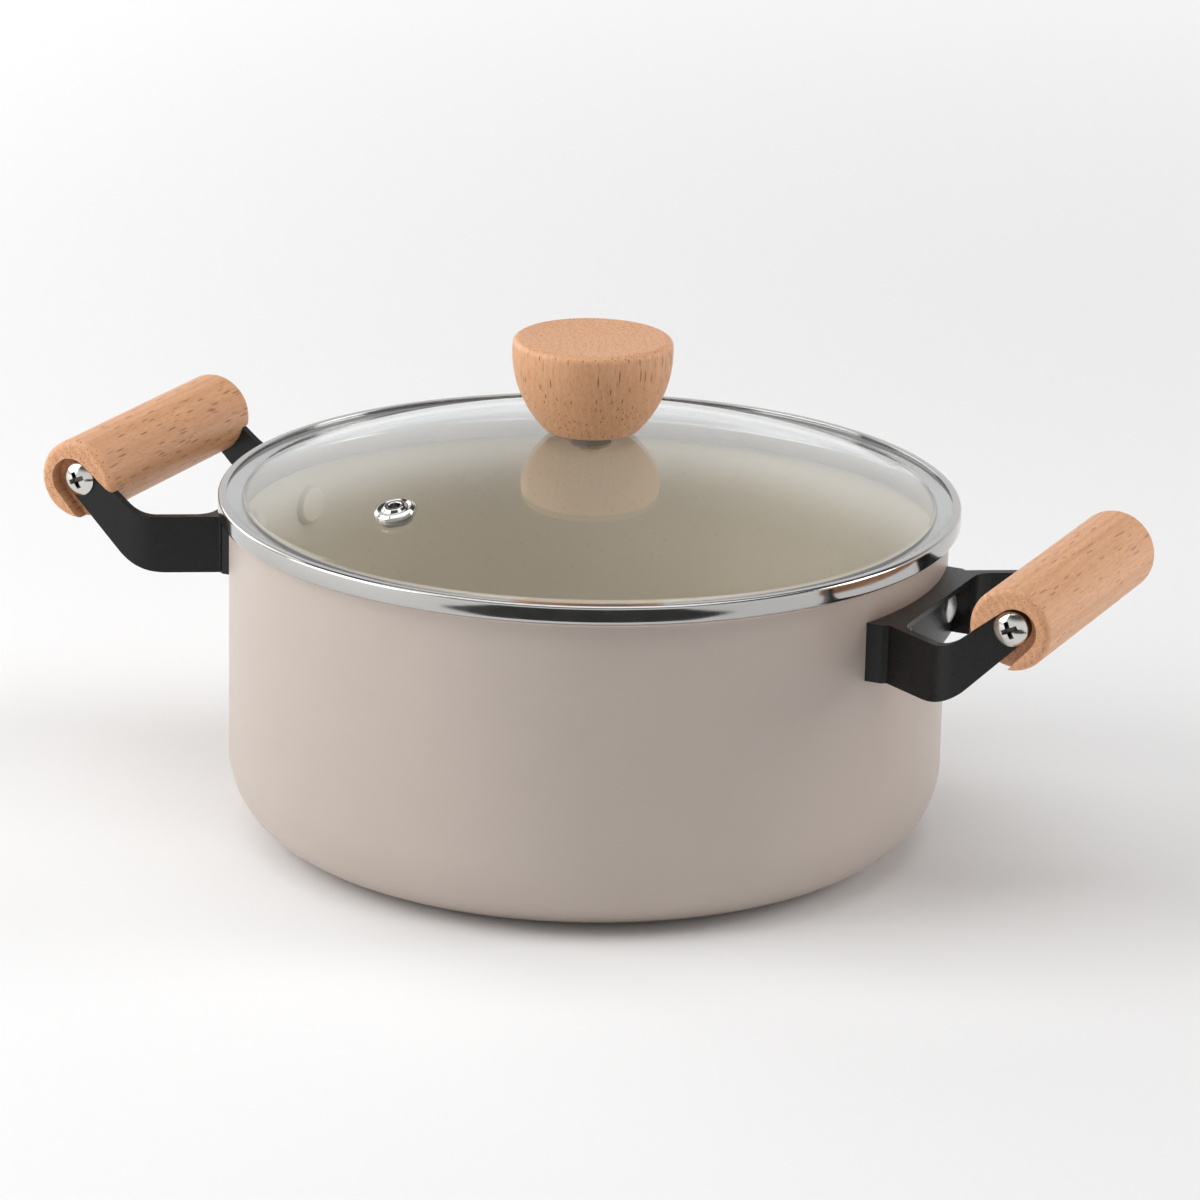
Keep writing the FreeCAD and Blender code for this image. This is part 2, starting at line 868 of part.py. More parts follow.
os.makedirs("parts", exist_ok=True)
for piece in pieces:
    piece.Shape.exportStep(f"parts/{piece.Label}.step")
    print(f"{piece.Label:20s} {piece.Shape.Volume / 1000:9.2f} cm3  {len(piece.Shape.Solids)} solid(s)")
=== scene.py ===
import math

import bmesh
import bpy
from mathutils import Matrix, Vector

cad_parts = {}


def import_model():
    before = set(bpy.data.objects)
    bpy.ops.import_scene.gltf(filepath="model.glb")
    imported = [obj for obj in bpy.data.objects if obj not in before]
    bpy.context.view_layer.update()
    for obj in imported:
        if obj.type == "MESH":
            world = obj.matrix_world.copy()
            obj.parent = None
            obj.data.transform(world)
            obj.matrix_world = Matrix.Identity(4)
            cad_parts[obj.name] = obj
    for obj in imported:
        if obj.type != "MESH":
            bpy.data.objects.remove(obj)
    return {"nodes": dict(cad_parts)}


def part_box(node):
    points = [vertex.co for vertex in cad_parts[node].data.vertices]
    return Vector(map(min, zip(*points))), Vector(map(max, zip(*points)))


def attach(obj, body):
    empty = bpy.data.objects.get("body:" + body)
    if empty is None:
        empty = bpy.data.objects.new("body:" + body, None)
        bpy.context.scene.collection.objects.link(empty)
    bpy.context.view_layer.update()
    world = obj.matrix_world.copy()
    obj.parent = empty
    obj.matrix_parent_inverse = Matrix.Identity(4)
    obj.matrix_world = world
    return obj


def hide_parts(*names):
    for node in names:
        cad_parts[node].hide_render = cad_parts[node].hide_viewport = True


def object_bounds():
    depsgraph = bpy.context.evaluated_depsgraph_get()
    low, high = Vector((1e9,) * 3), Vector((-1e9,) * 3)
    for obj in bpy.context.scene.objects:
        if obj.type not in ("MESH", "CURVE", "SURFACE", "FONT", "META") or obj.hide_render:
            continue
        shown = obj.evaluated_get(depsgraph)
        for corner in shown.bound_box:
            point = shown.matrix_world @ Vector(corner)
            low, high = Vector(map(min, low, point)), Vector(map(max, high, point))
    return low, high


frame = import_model()
cad_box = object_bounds()

MM = 0.001
WELD = 0.002 * MM           # vertices nearer than this are one vertex
SEGMENTS = 360              # steps round a lathed piece
DOME_STEPS = 48             # steps from the dome's foot to the hole in its middle
FOOT_STEPS = 4              # steps at the dome's foot that its rounding takes the place of
ROUNDING_STEPS = 8
SHEET = 0.6 * MM            # the lid ring's sheet
FILM = 0.08 * MM            # the film of sealant between the glass and its ring
GLASS_SHEET = 4.0 * MM
GLASS_UNDER = 112.8 * MM    # the height of the flange's underside
GLASS_FOOT = 117.5 * MM     # the radius at which the dome rises from the flange
GLASS_HOLE = 4.2 * MM       # the radius of the hole in the middle
VENT_DISTANCE = 86.5 * MM   # from the lid's axis
VENT_DRILL = 3.6 * MM       # the radius of the hole that the eyelet sits in
SCREW_HEAD_MM = 5.8         # a grip screw's head: its radius, its height and its cylindrical foot
SCREW_HEIGHT_MM = 3.0
SCREW_FOOT_MM = 0.9


# ---------------------------------------------------------------- node trees

class Shader:
    """One material's node tree. Its calls return sockets, so that they nest like plain sums."""

    def __init__(self, name):
        self.material = bpy.data.materials.new(name)
        self.material.use_nodes = True
        self.tree = self.material.node_tree
        self.surface = self.tree.nodes["Principled BSDF"]

    def feed(self, socket, value):
        if isinstance(value, bpy.types.NodeSocket):
            self.tree.links.new(value, socket)
        else:
            socket.default_value = value

    def node(self, kind, inputs=None, **settings):
        node = self.tree.nodes.new("ShaderNode" + kind)
        for name, value in settings.items():
            setattr(node, name, value)
        for name, value in (inputs or {}).items():
            self.feed(node.inputs[name], value)
        return node

    def looks(self, **inputs):
        """Sets the surface's own sockets: base_color=... feeds "Base Color", and so on."""
        for name, value in inputs.items():
            words = name.replace("_", " ").title().replace("Ior", "IOR")
            self.feed(self.surface.inputs[words], value)
        return self.material

    def place(self, scale=(1, 1, 1), shift=(0, 0, 0)):
        """The point on the piece, in the part's own frame, scaled and then shifted."""
        point = self.node("TexCoord").outputs["Object"]
        return self.node("Mapping", {"Vector": point, "Scale": scale, "Location": shift}).outputs[0]

    def maths(self, operation, *values):
        node = self.node("Math", operation=operation)
        for socket, value in zip(node.inputs, values):
            self.feed(socket, value)
        return node.outputs[0]

    def vector(self, operation, *values):
        node = self.node("VectorMath", operation=operation)
        for socket, value in zip(node.inputs, values):
            self.feed(socket, value)
        return node.outputs["Value" if operation in ("DOT_PRODUCT", "LENGTH") else "Vector"]

    def step(self, value, low, high, bottom=0.0, top=1.0):
        """A smooth step from bottom at low to top at high."""
        inputs = {
            "Value": value, "From Min": low, "From Max": high, "To Min": bottom, "To Max": top}
        return self.node("MapRange", inputs, interpolation_type="SMOOTHSTEP").outputs[0]

    def mix(self, share, first, second):
        node = self.node("Mix", data_type="RGBA")
        factor, colour_a, colour_b = node.inputs[0], node.inputs[6], node.inputs[7]
        for socket, value in ((factor, share), (colour_a, first), (colour_b, second)):
            self.feed(socket, value)
        return node.outputs[2]

    def noise(self, place, scale, detail=2.0, roughness=0.5):
        inputs = {"Vector": place, "Scale": scale, "Detail": detail, "Roughness": roughness}
        return self.node("TexNoise", inputs).outputs[0]

    def cells(self, place, scale):
        """Distance to the nearest of many scattered points, in cells, and that point's colour."""
        node = self.node("TexVoronoi", {"Vector": place, "Scale": scale})
        return node.outputs["Distance"], node.outputs["Color"]

    def bump(self, height, depth):
        """A normal for a height from 0 to 1 that stands for a depth in metres."""
        inputs = {"Height": height, "Distance": depth, "Strength": 1.0}
        return self.node("Bump", inputs).outputs[0]

    def facing(self, direction):
        """How squarely the surface faces a direction in the part's own frame."""
        normal = self.node("TexCoord").outputs["Normal"]
        return self.vector("DOT_PRODUCT", normal, direction)

    def from_axis(self, point, keep=(1, 1, 0)):
        """A point's distance from the axis that keep leaves out."""
        return self.vector("LENGTH", self.vector("MULTIPLY", point, keep))


def rgb(red, green, blue):
    return (red, green, blue, 1.0)


# ---------------------------------------------------------------- materials

def inner_share(shader):
    """1 on the pot's inside and 0 on its outside, told by the way the surface faces."""
    flat = shader.vector("MULTIPLY", shader.place(), (1, 1, 0))
    outward = shader.vector("ADD", shader.vector("NORMALIZE", flat), (0, 0, -1))
    return shader.step(shader.facing(outward), 0.15, -0.15)


def pot_coating():
    """Satin paint outside, and a smooth, lighter non-stick coating with fine specks inside."""
    shader = Shader("taupe_and_nonstick")
    inside = inner_share(shader)
    cloud = shader.noise(shader.place(), 28.0, detail=3.0)
    paint = shader.mix(cloud, rgb(0.525, 0.445, 0.392), rgb(0.565, 0.485, 0.430))
    distance = shader.cells(shader.place(), 330.0)[0]
    specks = shader.step(distance, 0.16, 0.07)
    lining = shader.mix(cloud, rgb(0.600, 0.535, 0.445), rgb(0.645, 0.580, 0.490))
    lining = shader.mix(shader.maths("MULTIPLY", specks, 0.35), lining, rgb(0.23, 0.20, 0.16))
    peel = shader.noise(shader.place(), 850.0, detail=1.0)
    fine = shader.noise(shader.place(), 4200.0, detail=2.0)
    height = shader.maths("MULTIPLY_ADD", fine, 0.3, peel)
    gloss = shader.noise(shader.place(), 60.0, detail=4.0)
    return shader.looks(
        base_color=shader.mix(inside, paint, lining),
        roughness=shader.step(gloss, 0.2, 0.8, 0.36, 0.44),
        normal=shader.bump(height, 0.012 * MM),
        coat_weight=0.12,
        coat_roughness=0.25,
    )


def black_coating():
    """Black satin powder coating, with the fine grain that such a coating has."""
    shader = Shader("black_powder_coating")
    grain = shader.noise(shader.place(), 2600.0, detail=2.0, roughness=0.6)
    patches = shader.noise(shader.place(), 70.0, detail=3.0)
    return shader.looks(
        base_color=shader.mix(patches, rgb(0.0035, 0.0035, 0.0038), rgb(0.006, 0.006, 0.0063)),
        roughness=shader.step(grain, 0.3, 0.7, 0.26, 0.36),
        specular_ior_level=0.34,
        normal=shader.bump(grain, 0.018 * MM),
    )


def beech(name, grain, centre, seed, ring_share, pore_share):
    """Oiled beech: soft growth rings, fibres and short dark pores, all along the grain axis."""
    shader = Shader(name)
    axis = "XYZ".index(grain)
    along_grain = [1.0 if k == axis else 0.0 for k in range(3)]
    across_grain = [0.0 if k == axis else 1.0 for k in range(3)]
    ring_pitch = 2.6 * MM
    pith = (-47 * MM, -33 * MM, -29 * MM)

    def cell(across_mm, along_mm, number):
        """Coordinates in cells of this size across and along the grain."""
        scale = [1 / ((along_mm if k == axis else across_mm) * MM) for k in range(3)]
        shift = [seed + number - middle * share for middle, share in zip(centre, scale)]
        return shader.place(scale, shift)

    wander = shader.noise(cell(14, 160, 3.1), 1.0, detail=2.0)
    pith_place = [middle + away * keep for middle, away, keep in zip(centre, pith, across_grain)]
    from_pith = shader.vector("SUBTRACT", shader.place(), pith_place)
    ring = shader.maths("MULTIPLY_ADD", wander, 3.0 * MM, shader.from_axis(from_pith, across_grain))
    rings = shader.maths("SINE", shader.maths("MULTIPLY", ring, 2 * math.pi / ring_pitch))
    rings = shader.step(rings, -1.0, 1.0)
    streaks = shader.noise(cell(1.5, 90, 7.7), 1.0, detail=4.0, roughness=0.6)
    fibres = shader.noise(cell(0.30, 7, 1.9), 1.0, detail=3.0, roughness=0.65)

    distance, tone = shader.cells(cell(1.15, 11.5, 5.3), 1.0)
    strength = shader.step(shader.node("SeparateColor", {"Color": tone}).outputs[0], 0.05, 0.60)
    pore = shader.maths("MULTIPLY", shader.step(distance, 0.29, 0.16), strength)
    distance = shader.cells(cell(0.50, 4.5, 9.4), 1.0)[0]
    specks = shader.maths("MULTIPLY", shader.step(distance, 0.36, 0.15), 0.38)

    tint = shader.maths("MULTIPLY_ADD", rings, ring_share, shader.maths("MULTIPLY", streaks, 0.80))
    colour = shader.mix(tint, rgb(0.88, 0.515, 0.295), rgb(0.62, 0.285, 0.130))
    fibre_share = shader.step(fibres, 0.35, 0.75, 0.0, 0.35)
    colour = shader.mix(fibre_share, colour, rgb(0.52, 0.215, 0.090))
    colour = shader.mix(specks, colour, rgb(0.42, 0.155, 0.060))
    pores = shader.maths("MULTIPLY", pore, pore_share)
    colour = shader.mix(pores, colour, rgb(0.22, 0.070, 0.027))

    end = shader.step(shader.maths("ABSOLUTE", shader.facing(along_grain)), 0.75, 0.97)
    vessel = shader.noise(cell(0.42, 0.42, 2.3), 1.0, detail=1.0)
    open_ends = shader.maths("MULTIPLY", end, shader.step(vessel, 0.56, 0.68, 0.0, 0.55))
    colour = shader.mix(open_ends, colour, rgb(0.30, 0.110, 0.045))
    relief = shader.maths("SUBTRACT", shader.maths("MULTIPLY", fibres, 0.35), pore)
    return shader.looks(
        base_color=colour,
        roughness=shader.step(fibres, 0.3, 0.8, 0.40, 0.54),
        normal=shader.bump(relief, 0.05 * MM),
    )


def metal(name, colour, low, high, grain_mm, depth_mm):
    """Bare metal with a roughness that wanders between two values and a fine surface grain."""
    shader = Shader(name)
    grain = shader.noise(shader.place(), 1 / (grain_mm * MM), detail=3.0, roughness=0.6)
    wear = shader.noise(shader.place(), 90.0, detail=4.0)
    return shader.looks(
        base_color=colour,
        metallic=1.0,
        roughness=shader.step(wear, 0.25, 0.75, low, high),
        normal=shader.bump(grain, depth_mm * MM),
    )


def screw_metal():
    """Stainless grip screws: bright domed heads, with painted shade down in the cross recess, which
    is also duller.
    """
    shader = Shader("screw_head_stainless")
    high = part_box("grip_screws_right")[1]
    middle = middle_of("grip_screws_right")
    rise_mm = SCREW_HEIGHT_MM - SCREW_FOOT_MM
    dome_radius = (SCREW_HEAD_MM ** 2 + rise_mm ** 2) / (2 * rise_mm) * MM
    recess_mm = 3.6  # how far the cross recess reaches from the screw's axis
    mirrored = shader.vector("ABSOLUTE", shader.place())
    off_axis = shader.vector("SUBTRACT", mirrored, (middle.x, 0, middle.z))
    reach = shader.from_axis(off_axis, (1, 0, 1))
    sag = shader.maths("MULTIPLY", shader.maths("MULTIPLY", reach, reach), 0.5 / dome_radius)
    surface = shader.maths("SUBTRACT", high.y, sag)
    height = shader.vector("DOT_PRODUCT", mirrored, (0, 1, 0))
    deep = shader.step(shader.maths("SUBTRACT", surface, height), 0.10 * MM, 0.45 * MM)
    near_axis = shader.step(reach, (recess_mm + 0.3) * MM, recess_mm * MM)
    # Painted shade: the cross recess is coloured dark where its walls keep the light out, and it is
    # made duller.
    recess_shade = shader.maths("MULTIPLY", near_axis, deep)
    wear = shader.noise(shader.place(), 900.0, detail=3.0)
    worn = shader.step(wear, 0.25, 0.75, 0.10, 0.17)
    return shader.looks(
        # the dark colour in the cross recess is painted shade
        base_color=shader.mix(recess_shade, rgb(0.66, 0.65, 0.62), rgb(0.10, 0.095, 0.09)),
        metallic=1.0,
        roughness=shader.maths("MULTIPLY_ADD", recess_shade, 0.25, worn),
        normal=shader.bump(wear, 0.004 * MM),
    )


def turned_steel():
    """A plate faced on a lathe: fine rings about the pot's axis."""
    shader = Shader("turned_steel")
    feed_pitch = 0.55 * MM
    drift = shader.noise(shader.place(), 12.0)
    radius = shader.maths("MULTIPLY_ADD", drift, 0.2 * MM, shader.from_axis(shader.place()))
    rings = shader.maths("SINE", shader.maths("MULTIPLY", radius, 2 * math.pi / feed_pitch))
    return shader.looks(
        base_color=rgb(0.50, 0.50, 0.49),
        metallic=1.0,
        roughness=shader.step(drift, 0.2, 0.8, 0.28, 0.42),
        normal=shader.bump(rings, 0.008 * MM),
    )


def rivet_metal():
    """Aluminium outside the wall; the heads inside the pot carry its lining."""
    shader = Shader("rivet_aluminium")
    wall_middle = 121.0 * MM
    radius = shader.from_axis(shader.place())
    coated = shader.step(radius, wall_middle + 0.2 * MM, wall_middle - 0.2 * MM)
    dents = shader.noise(shader.place(), 700.0, detail=3.0)
    return shader.looks(
        base_color=shader.mix(coated, rgb(0.66, 0.66, 0.65), rgb(0.66, 0.585, 0.48)),
        metallic=shader.maths("SUBTRACT", 1.0, coated),
        roughness=shader.step(dents, 0.2, 0.8, 0.30, 0.46),
        normal=shader.bump(dents, 0.05 * MM),
    )


def clear_glass():
    """Clear tempered glass. Lamps shine through it straight, so that the pot's inside is lit."""
    shader = Shader("tempered_glass")
    shader.looks(
        base_color=rgb(0.975, 0.99, 0.982), roughness=0.0, ior=1.52, transmission_weight=1.0)
    through = shader.node("BsdfTransparent", {"Color": rgb(0.90, 0.92, 0.91)})
    lamps = shader.node("LightPath").outputs["Is Shadow Ray"]
    both = shader.node("MixShader", {0: lamps, 1: shader.surface.outputs[0], 2: through.outputs[0]})
    output = shader.tree.nodes["Material Output"]
    shader.tree.links.new(both.outputs[0], output.inputs["Surface"])
    return shader.material


def silicone():
    """Milky silicone rubber with a faint bloom."""
    shader = Shader("milky_silicone")
    bloom = shader.noise(shader.place(), 900.0, detail=3.0)
    return shader.looks(
        base_color=shader.mix(bloom, rgb(0.34, 0.33, 0.30), rgb(0.42, 0.41, 0.38)),
        roughness=shader.step(bloom, 0.2, 0.8, 0.30, 0.44),
        transmission_weight=0.55,
        ior=1.41,
    )


# ---------------------------------------------------------------- pieces

def dress(node, material):
    """Gives a CAD piece its material in the slot that it already has."""
    for slot in frame["nodes"][node].material_slots:
        slot.material = material


def middle_of(node):
    low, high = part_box(node)
    return (low + high) / 2


def to_mesh(name, shape):
    """A mesh made from a bmesh, which is freed."""
    mesh = bpy.data.meshes.new(name)
    shape.to_mesh(mesh)
    shape.free()
    return mesh


def stand_in(node, name, mesh, body, material, sharp):
    """Shows a mesh of its own in place of a CAD piece. Edges past sharp degrees stay crisp."""
    mesh.shade_smooth()
    mesh.set_sharp_from_angle(angle=math.radians(sharp))
    mesh.materials.clear()
    mesh.materials.append(material)
    piece = bpy.data.objects.new(name, mesh)
    bpy.context.scene.collection.objects.link(piece)
    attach(piece, body)
    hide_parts(node)
    return piece


def eased(node, body, material, radius_mm):
    """A CAD piece's mesh with its sharp edges rounded off, as finishing leaves them."""
    sharp_edge = math.radians(28)
    shape = bmesh.new()
    shape.from_mesh(frame["nodes"][node].data)
    bmesh.ops.remove_doubles(shape, verts=shape.verts, dist=WELD)
    bmesh.ops.dissolve_limit(
        shape, angle_limit=math.radians(0.3), verts=shape.verts, edges=shape.edges)
    edges = [e for e in shape.edges if e.is_manifold and e.calc_face_angle() > sharp_edge]
    bmesh.ops.bevel(
        shape, geom=edges, offset=radius_mm * MM, offset_type="OFFSET", segments=3, profile=0.5,
        affect="EDGES", clamp_overlap=True)
    name = f"{node}_eased"
    piece = stand_in(node, name, to_mesh(name, shape), body, material, sharp=50)
    normals = piece.modifiers.new("normals", "WEIGHTED_NORMAL")
    normals.keep_sharp = True


def rounded(corners):
    """A closed outline through (radius, height, rounding) corners, roundings in short steps."""
    outline = []
    count = len(corners)
    for k, (x, z, rounding) in enumerate(corners):
        here = Vector((x, z))
        if rounding == 0:
            outline.append(here)
            continue
        before = (Vector(corners[k - 1][:2]) - here).normalized()
        after = (Vector(corners[(k + 1) % count][:2]) - here).normalized()
        half = before.angle(after) / 2
        middle = here + (before + after).normalized() * (rounding / math.sin(half))
        start = here + before * (rounding / math.tan(half)) - middle
        swing = -math.copysign(math.pi - 2 * half, before.cross(after))
        for step in range(ROUNDING_STEPS + 1):
            outline.append(middle + Matrix.Rotation(swing * step / ROUNDING_STEPS, 2) @ start)
    return outline


def lathed(name, outline):
    """A mesh turned about the Z axis from a closed outline of radius and height."""
    shape = bmesh.new()
    turns = [2 * math.pi * k / SEGMENTS for k in range(SEGMENTS)]
    rings = []
    for x, z in outline:
        rings.append([shape.verts.new((x * math.cos(t), x * math.sin(t), z)) for t in turns])
    for ring, following in zip(rings, rings[1:] + rings[:1]):
        for k in range(SEGMENTS):
            beyond = (k + 1) % SEGMENTS
            shape.faces.new((ring[k], ring[beyond], following[beyond], following[k]))
    bmesh.ops.recalc_face_normals(shape, faces=shape.faces)
    return to_mesh(name, shape)


def carved(mesh, cutter):
    """The mesh less the cutter."""
    blank = bpy.data.objects.new("blank", mesh)
    tool = bpy.data.objects.new("tool", cutter)
    for piece in (blank, tool):
        bpy.context.scene.collection.objects.link(piece)
    carve = blank.modifiers.new("carve", "BOOLEAN")
    carve.operation = "DIFFERENCE"
    carve.solver = "EXACT"
    carve.object = tool
    final = blank.evaluated_get(bpy.context.evaluated_depsgraph_get())
    result = bpy.data.meshes.new_from_object(final)
    bpy.data.objects.remove(blank)
    bpy.data.objects.remove(tool)
    return result


def lid_ring(material):
    """The rolled ring: a lip over the glass, a band outside it, a shelf under it and a skirt."""
    low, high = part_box("lid_ring")
    outer = high.x
    band = outer - SHEET
    lip = outer - 2.9 * MM
    bead = outer - 2.1 * MM
    bead_bottom = 110.9 * MM
    skirt = GLASS_FOOT - 0.4 * MM
    shelf = GLASS_UNDER - FILM
    corners = [
        (lip, high.z - SHEET, 0),
        (lip, high.z, 0.25 * MM),
        (outer, high.z, 1.1 * MM),
        (outer, bead_bottom, 1.4 * MM),
        (bead, bead_bottom, 0.5 * MM),
        (bead, shelf - SHEET, 0),
        (skirt, shelf - SHEET, 0.5 * MM),
        (skirt, low.z, 0),
        (skirt - SHEET, low.z, 0),
        (skirt - SHEET, shelf, 1.1 * MM),
        (band, shelf, 0),
        (band, high.z - SHEET, 0),
    ]
    name = "lid_ring_fine"
    mesh = lathed(name, rounded(corners))
    stand_in("lid_ring", name, mesh, "lid", material, sharp=35)


def dome_sphere(foot, rise):
    """A dome's radius, and how far its centre lies below the edge of the hole in its middle."""
    depth = (foot ** 2 - GLASS_HOLE ** 2 + rise ** 2) / (2 * rise)
    return math.hypot(GLASS_HOLE, depth), depth


def dome(foot, foot_height, top_height):
    """Points up a dome, from its foot to the hole in its middle."""
    radius, depth = dome_sphere(foot, top_height - foot_height)
    centre = top_height - depth
    first = math.asin(foot / radius)
    last = math.asin(GLASS_HOLE / radius)
    angles = [first + (last - first) * k / DOME_STEPS for k in range(DOME_STEPS + 1)]
    return [(radius * math.sin(angle), centre + radius * math.cos(angle)) for angle in angles]


def vent_drill(rise):
    """A cutter for the vent's hole, at right angles to the glass."""
    shape = bmesh.new()
    bmesh.ops.create_cone(
        shape, cap_ends=True, segments=48, radius1=VENT_DRILL, radius2=VENT_DRILL, depth=20 * MM)
    drill = to_mesh("vent_drill", shape)
    middle = middle_of("vent_eyelet")
    outward = Vector((middle.x, middle.y, 0)).normalized()
    lean = math.asin(VENT_DISTANCE / dome_sphere(GLASS_FOOT, rise)[0])
    aim = outward * math.sin(lean) + Vector((0, 0, math.cos(lean)))
    drill.transform(Matrix.Translation(middle) @ aim.to_track_quat("Z", "Y").to_matrix().to_4x4())
    return drill


def lid_glass(material):
    """The domed glass with its flange, drilled in the middle and for the steam vent."""
    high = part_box("lid_glass")[1]
    flange_top = GLASS_UNDER + GLASS_SHEET
    bend = 6.0 * MM
    edge = 1.0 * MM
    inner_foot = GLASS_FOOT - 0.75 * MM
    outside = dome(GLASS_FOOT, flange_top, high.z)
    inside = dome(inner_foot, GLASS_UNDER, high.z - GLASS_SHEET)
    corners = [(high.x, GLASS_UNDER, edge), (high.x, flange_top, edge), (*outside[0], bend)]
    corners += [(x, z, 0) for x, z in outside[FOOT_STEPS:]]
    corners += [(x, z, 0) for x, z in reversed(inside[FOOT_STEPS:])]
    corners += [(*inside[0], bend)]
    name = "lid_glass_fine"
    mesh = carved(lathed(name, rounded(corners)), vent_drill(high.z - flange_top))
    stand_in("lid_glass", name, mesh, "lid", material, sharp=35)


def cross_recess(reach, width, depth, top):
    """A cutter for a cross recess: four wings that narrow towards its bottom."""
    bottom_share = 0.42
    shape = bmesh.new()
    rims = []
    for share, height in ((1.0, top), (bottom_share, top - depth)):
        half = width / 2 * (1 + share) / 2
        far = reach * share
        rim = []
        for quarter in range(4):
            turn = Matrix.Rotation(math.pi / 2 * quarter, 3, "Z")
            for point in ((far, -half), (far, half), (half, half)):
                rim.append(shape.verts.new(turn @ Vector((*point, height))))
        rims.append(rim)
    upper, lower = rims
    for k in range(len(upper)):
        beyond = (k + 1) % len(upper)
        shape.faces.new((lower[k], lower[beyond], upper[beyond], upper[k]))
    shape.faces.new(upper)
    shape.faces.new(reversed(lower))
    bmesh.ops.recalc_face_normals(shape, faces=shape.faces)
    return to_mesh("cross_recess", shape)


def screw_mesh(head, shank, length):
    """A grip screw along Z with its head's seat at 0: domed, with a cross recess, on a shank."""
    height = SCREW_HEIGHT_MM * MM
    foot = SCREW_FOOT_MM * MM
    rise = height - foot
    dome_radius = (head * head + rise * rise) / (2 * rise)
    reach = math.asin(head / dome_radius)
    chamfer = 0.1 * MM
    outline = [(0.0, -length), (shank * 0.8, -length), (shank, -length + 0.4 * shank)]
    outline += [(shank, 0.0), (head - chamfer, 0.0), (head, chamfer), (head, foot)]
    steps = 14
    for k in range(1, steps + 1):
        angle = reach * (1 - k / steps)
        rim = height - dome_radius + dome_radius * math.cos(angle)
        outline.append((dome_radius * math.sin(angle), rim))
    shape = bmesh.new()
    points = [shape.verts.new((x, 0.0, z)) for x, z in outline]
    edges = [shape.edges.new(pair) for pair in zip(points, points[1:])]
    bmesh.ops.spin(
        shape, geom=points + edges, cent=(0, 0, 0), axis=(0, 0, 1), angle=2 * math.pi, steps=72)
    bmesh.ops.remove_doubles(shape, verts=shape.verts, dist=WELD)
    bmesh.ops.recalc_face_normals(shape, faces=shape.faces)
    blank = to_mesh("screw_blank", shape)
    cutter = cross_recess(
        reach=0.62 * head, width=0.30 * head, depth=0.80 * height, top=height + 0.2 * MM)
    return carved(blank, cutter)


def grip_screws(side, material):
    """The two screws of a grip, one in each of its ends, driven home at different angles."""
    node = f"grip_screws_{side}"
    low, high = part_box(node)
    middle = (low + high) / 2
    source = screw_mesh(head=(high.z - low.z) / 2, shank=2.5 * MM, length=20.0 * MM)
    shape = bmesh.new()
    for end, twist in ((-1, 24.0), (1, 61.0)):
        seat = Vector((middle.x, end * (high.y - SCREW_HEIGHT_MM * MM), middle.z))
        place = Matrix.Translation(seat) @ Matrix.Rotation(math.radians(-90 * end), 4, "X")
        screw = source.copy()
        screw.transform(place @ Matrix.Rotation(math.radians(twist), 4, "Z"))
        shape.from_mesh(screw)
    mesh = to_mesh(f"{node}_crossed", shape)
    stand_in(node, f"{node}_fine", mesh, "pot", material, sharp=35)


coating = black_coating()
steel = metal(
    "polished_stainless", rgb(0.64, 0.63, 0.61), low=0.06, high=0.12, grain_mm=0.9, depth_mm=0.002)
rim_steel = metal(
    "rolled_rim_stainless", rgb(0.50, 0.49, 0.475),
    low=0.07, high=0.13, grain_mm=1.2, depth_mm=0.002)
screw_steel = metal(
    "screw_stainless", rgb(0.62, 0.61, 0.585), low=0.12, high=0.20, grain_mm=0.5, depth_mm=0.006)
plain_steel = metal(
    "plain_steel", rgb(0.52, 0.52, 0.51), low=0.30, high=0.42, grain_mm=0.4, depth_mm=0.01)
brass = metal(
    "turned_brass", rgb(0.70, 0.50, 0.22), low=0.22, high=0.34, grain_mm=0.4, depth_mm=0.01)
head_steel = screw_metal()
rivets = rivet_metal()
rubber = silicone()

dress("pot_shell", pot_coating())
dress("induction_plate", turned_steel())
for side, seed, pores in (("right", 11.0, 0.62), ("left", 17.5, 0.72)):
    grip = f"grip_{side}"
    wood = beech(f"beech_{side}", "Y", middle_of(grip), seed, ring_share=0.22, pore_share=pores)
    eased(f"bracket_{side}", "pot", coating, radius_mm=0.85)
    eased(grip, "pot", wood, radius_mm=0.45)
    grip_screws(side, head_steel)
    dress(f"rivets_{side}", rivets)
    dress(f"grip_sleeve_{side}", plain_steel)
lid_glass(clear_glass())
lid_ring(rim_steel)
dress("vent_eyelet", steel)
dress("vent_seal", rubber)
dress("knob", beech(
    "beech_knob", "Z", middle_of("knob"), seed=31.0, ring_share=0.10, pore_share=0.80))
dress("knob_insert", brass)
dress("knob_seat_washer", rubber)
dress("knob_gasket", rubber)
dress("knob_washer", steel)
dress("knob_screw", screw_steel)


# ---------------------------------------------------------------- studio

FLOOR_REACH = 9.0
LAMPS_FADE = 0.45           # the floor's own faint glow grows from this distance to the next
LAMPS_GONE = 2.6
CAMERA_PLACE = Vector((0.7683, -1.6485, 0.6649))
CAMERA_AIM = Vector((0.0070, -0.0051, 0.0817))
CAMERA_ROLL = 1.24
LENS = 167.9
SENSOR = 36.0


def floor():
    """A wide pale floor just under the pot's base, with a faint glow where the lamps don't reach."""
    shader = Shader("pale_floor")
    cloud = shader.noise(shader.place(), 1.5, detail=2.0)
    away = shader.vector("LENGTH", shader.place())
    shader.looks(
        base_color=shader.mix(cloud, rgb(0.91, 0.91, 0.91), rgb(0.93, 0.93, 0.93)),
        roughness=0.7,
        specular_ior_level=0.1,
        emission_strength=shader.step(away, LAMPS_FADE, LAMPS_GONE, 0.0, 0.66),
    )
    bpy.ops.mesh.primitive_plane_add(
        size=2 * FLOOR_REACH, location=(0, 0, cad_box[0][2] - 0.2 * MM))
    plane = bpy.context.object
    plane.name = "floor"
    plane.data.materials.append(shader.material)


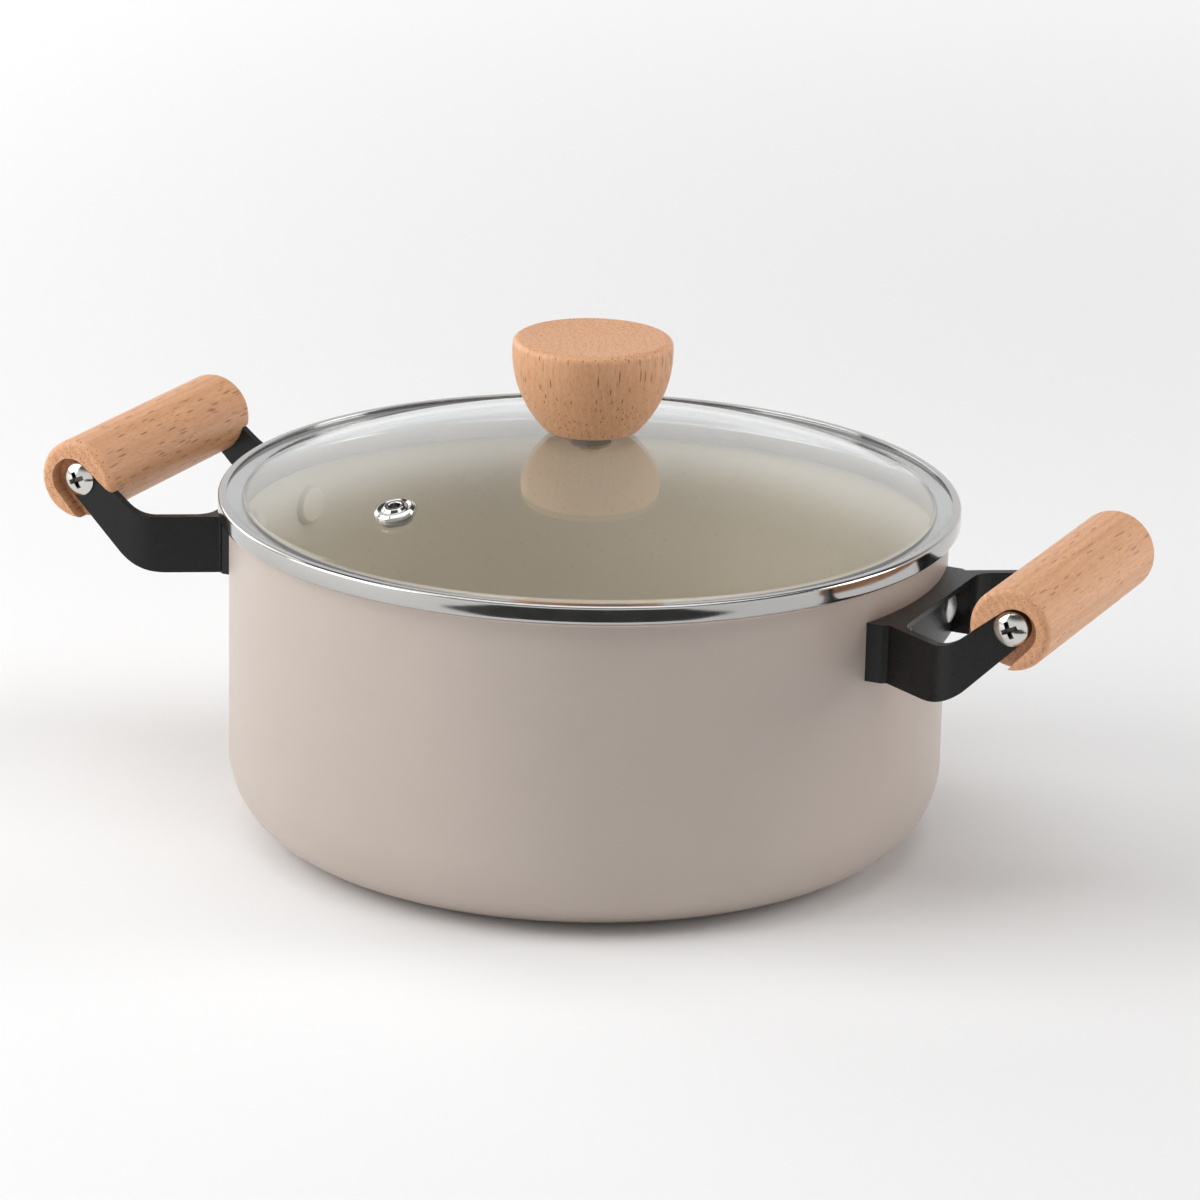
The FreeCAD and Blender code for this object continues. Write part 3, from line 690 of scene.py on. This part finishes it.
def facing(place, aim, roll_degrees=0.0):
    """A matrix that stands at place and looks at aim, turned about the line of sight."""
    look = (aim - place).to_track_quat("-Z", "Y").to_matrix().to_4x4()
    return Matrix.Translation(place) @ look @ Matrix.Rotation(math.radians(roll_degrees), 4, "Z")


def softbox(name, azimuth, elevation, distance, width, height, watts):
    """A rectangular lamp aimed at the pot; azimuth 0 is on the -Y side, and grows towards +X."""
    turn = math.radians(azimuth)
    lift = math.radians(elevation)
    pot_middle = Vector((0, 0, 0.08))
    level = math.cos(lift)
    away = Vector((math.sin(turn) * level, -math.cos(turn) * level, math.sin(lift)))
    lamp = bpy.data.lights.new(name, "AREA")
    lamp.shape = "RECTANGLE"
    lamp.size = width
    lamp.size_y = height
    lamp.energy = watts
    piece = bpy.data.objects.new(name, lamp)
    bpy.context.scene.collection.objects.link(piece)
    piece.matrix_world = facing(pot_middle + away * distance, pot_middle)


def flag(name, azimuth, near, far, width):
    """A black card on the floor in front of the pot. It shows in reflections only."""
    shader = Shader("black_card")
    weave = shader.noise(shader.place(), 40.0)
    shader.looks(
        base_color=shader.mix(weave, rgb(0.010, 0.010, 0.010), rgb(0.014, 0.014, 0.014)),
        roughness=0.9)
    turn = Matrix.Rotation(math.radians(azimuth), 4, "Z")
    half = width / 2
    height = cad_box[0][2] + 1.0 * MM
    corners = [(-half, -near), (-half, -far), (half, -far), (half, -near)]
    mesh = bpy.data.meshes.new(name)
    mesh.from_pydata([turn @ Vector((x, y, height)) for x, y in corners], [], [(0, 1, 2, 3)])
    mesh.materials.append(shader.material)
    card = bpy.data.objects.new(name, mesh)
    bpy.context.scene.collection.objects.link(card)
    card.visible_camera = False
    card.visible_diffuse = False
    card.visible_transmission = False
    card.visible_shadow = False


def world(horizon, zenith, soft_share):
    """A room with a pale wall all round that fades to a dim ceiling.

    Soft light takes only a share of it, so that the lamps model the shapes.
    """
    sky = bpy.data.worlds.new("studio")
    sky.use_nodes = True
    nodes = sky.node_tree.nodes
    links = sky.node_tree.links
    background = nodes["Background"]
    background.inputs["Color"].default_value = rgb(0.985, 0.99, 1.0)
    split = nodes.new("ShaderNodeSeparateXYZ")
    fade = nodes.new("ShaderNodeMapRange")
    fade.interpolation_type = "SMOOTHSTEP"
    soften = nodes.new("ShaderNodeMapRange")
    soften.inputs["To Min"].default_value = 1.0
    soften.inputs["To Max"].default_value = soft_share
    level = nodes.new("ShaderNodeMath")
    level.operation = "MULTIPLY"
    wall_top, ceiling = 0.30, 0.62
    levels = {"From Min": wall_top, "From Max": ceiling, "To Min": horizon, "To Max": zenith}
    for name, value in levels.items():
        fade.inputs[name].default_value = value
    links.new(nodes.new("ShaderNodeTexCoord").outputs["Generated"], split.inputs[0])
    links.new(split.outputs["Z"], fade.inputs["Value"])
    links.new(nodes.new("ShaderNodeLightPath").outputs["Is Diffuse Ray"], soften.inputs["Value"])
    links.new(fade.outputs[0], level.inputs[0])
    links.new(soften.outputs[0], level.inputs[1])
    links.new(level.outputs[0], background.inputs["Strength"])
    bpy.context.scene.world = sky


def camera():
    lens = bpy.data.cameras.new("camera")
    lens.lens = LENS
    lens.sensor_width = SENSOR
    lens.clip_end = 4 * FLOOR_REACH
    piece = bpy.data.objects.new("camera", lens)
    bpy.context.scene.collection.objects.link(piece)
    piece.matrix_world = facing(CAMERA_PLACE, CAMERA_AIM, CAMERA_ROLL)
    bpy.context.scene.camera = piece


floor()
world(horizon=0.88, zenith=0.08, soft_share=0.26)
flag("front_flag", azimuth=25.0, near=0.34, far=1.05, width=0.56)
softbox("key_left", -54, 30, distance=1.7, width=1.3, height=1.3, watts=18.0)
softbox("left_back", -110, 25, distance=1.9, width=1.0, height=1.2, watts=7.0)
softbox("right_back", 118, 22, distance=1.9, width=0.7, height=1.2, watts=12.0)
softbox("top", 20, 84, distance=3.4, width=4.0, height=4.0, watts=80.0)
camera()
bpy.context.scene.view_settings.view_transform = "Standard"
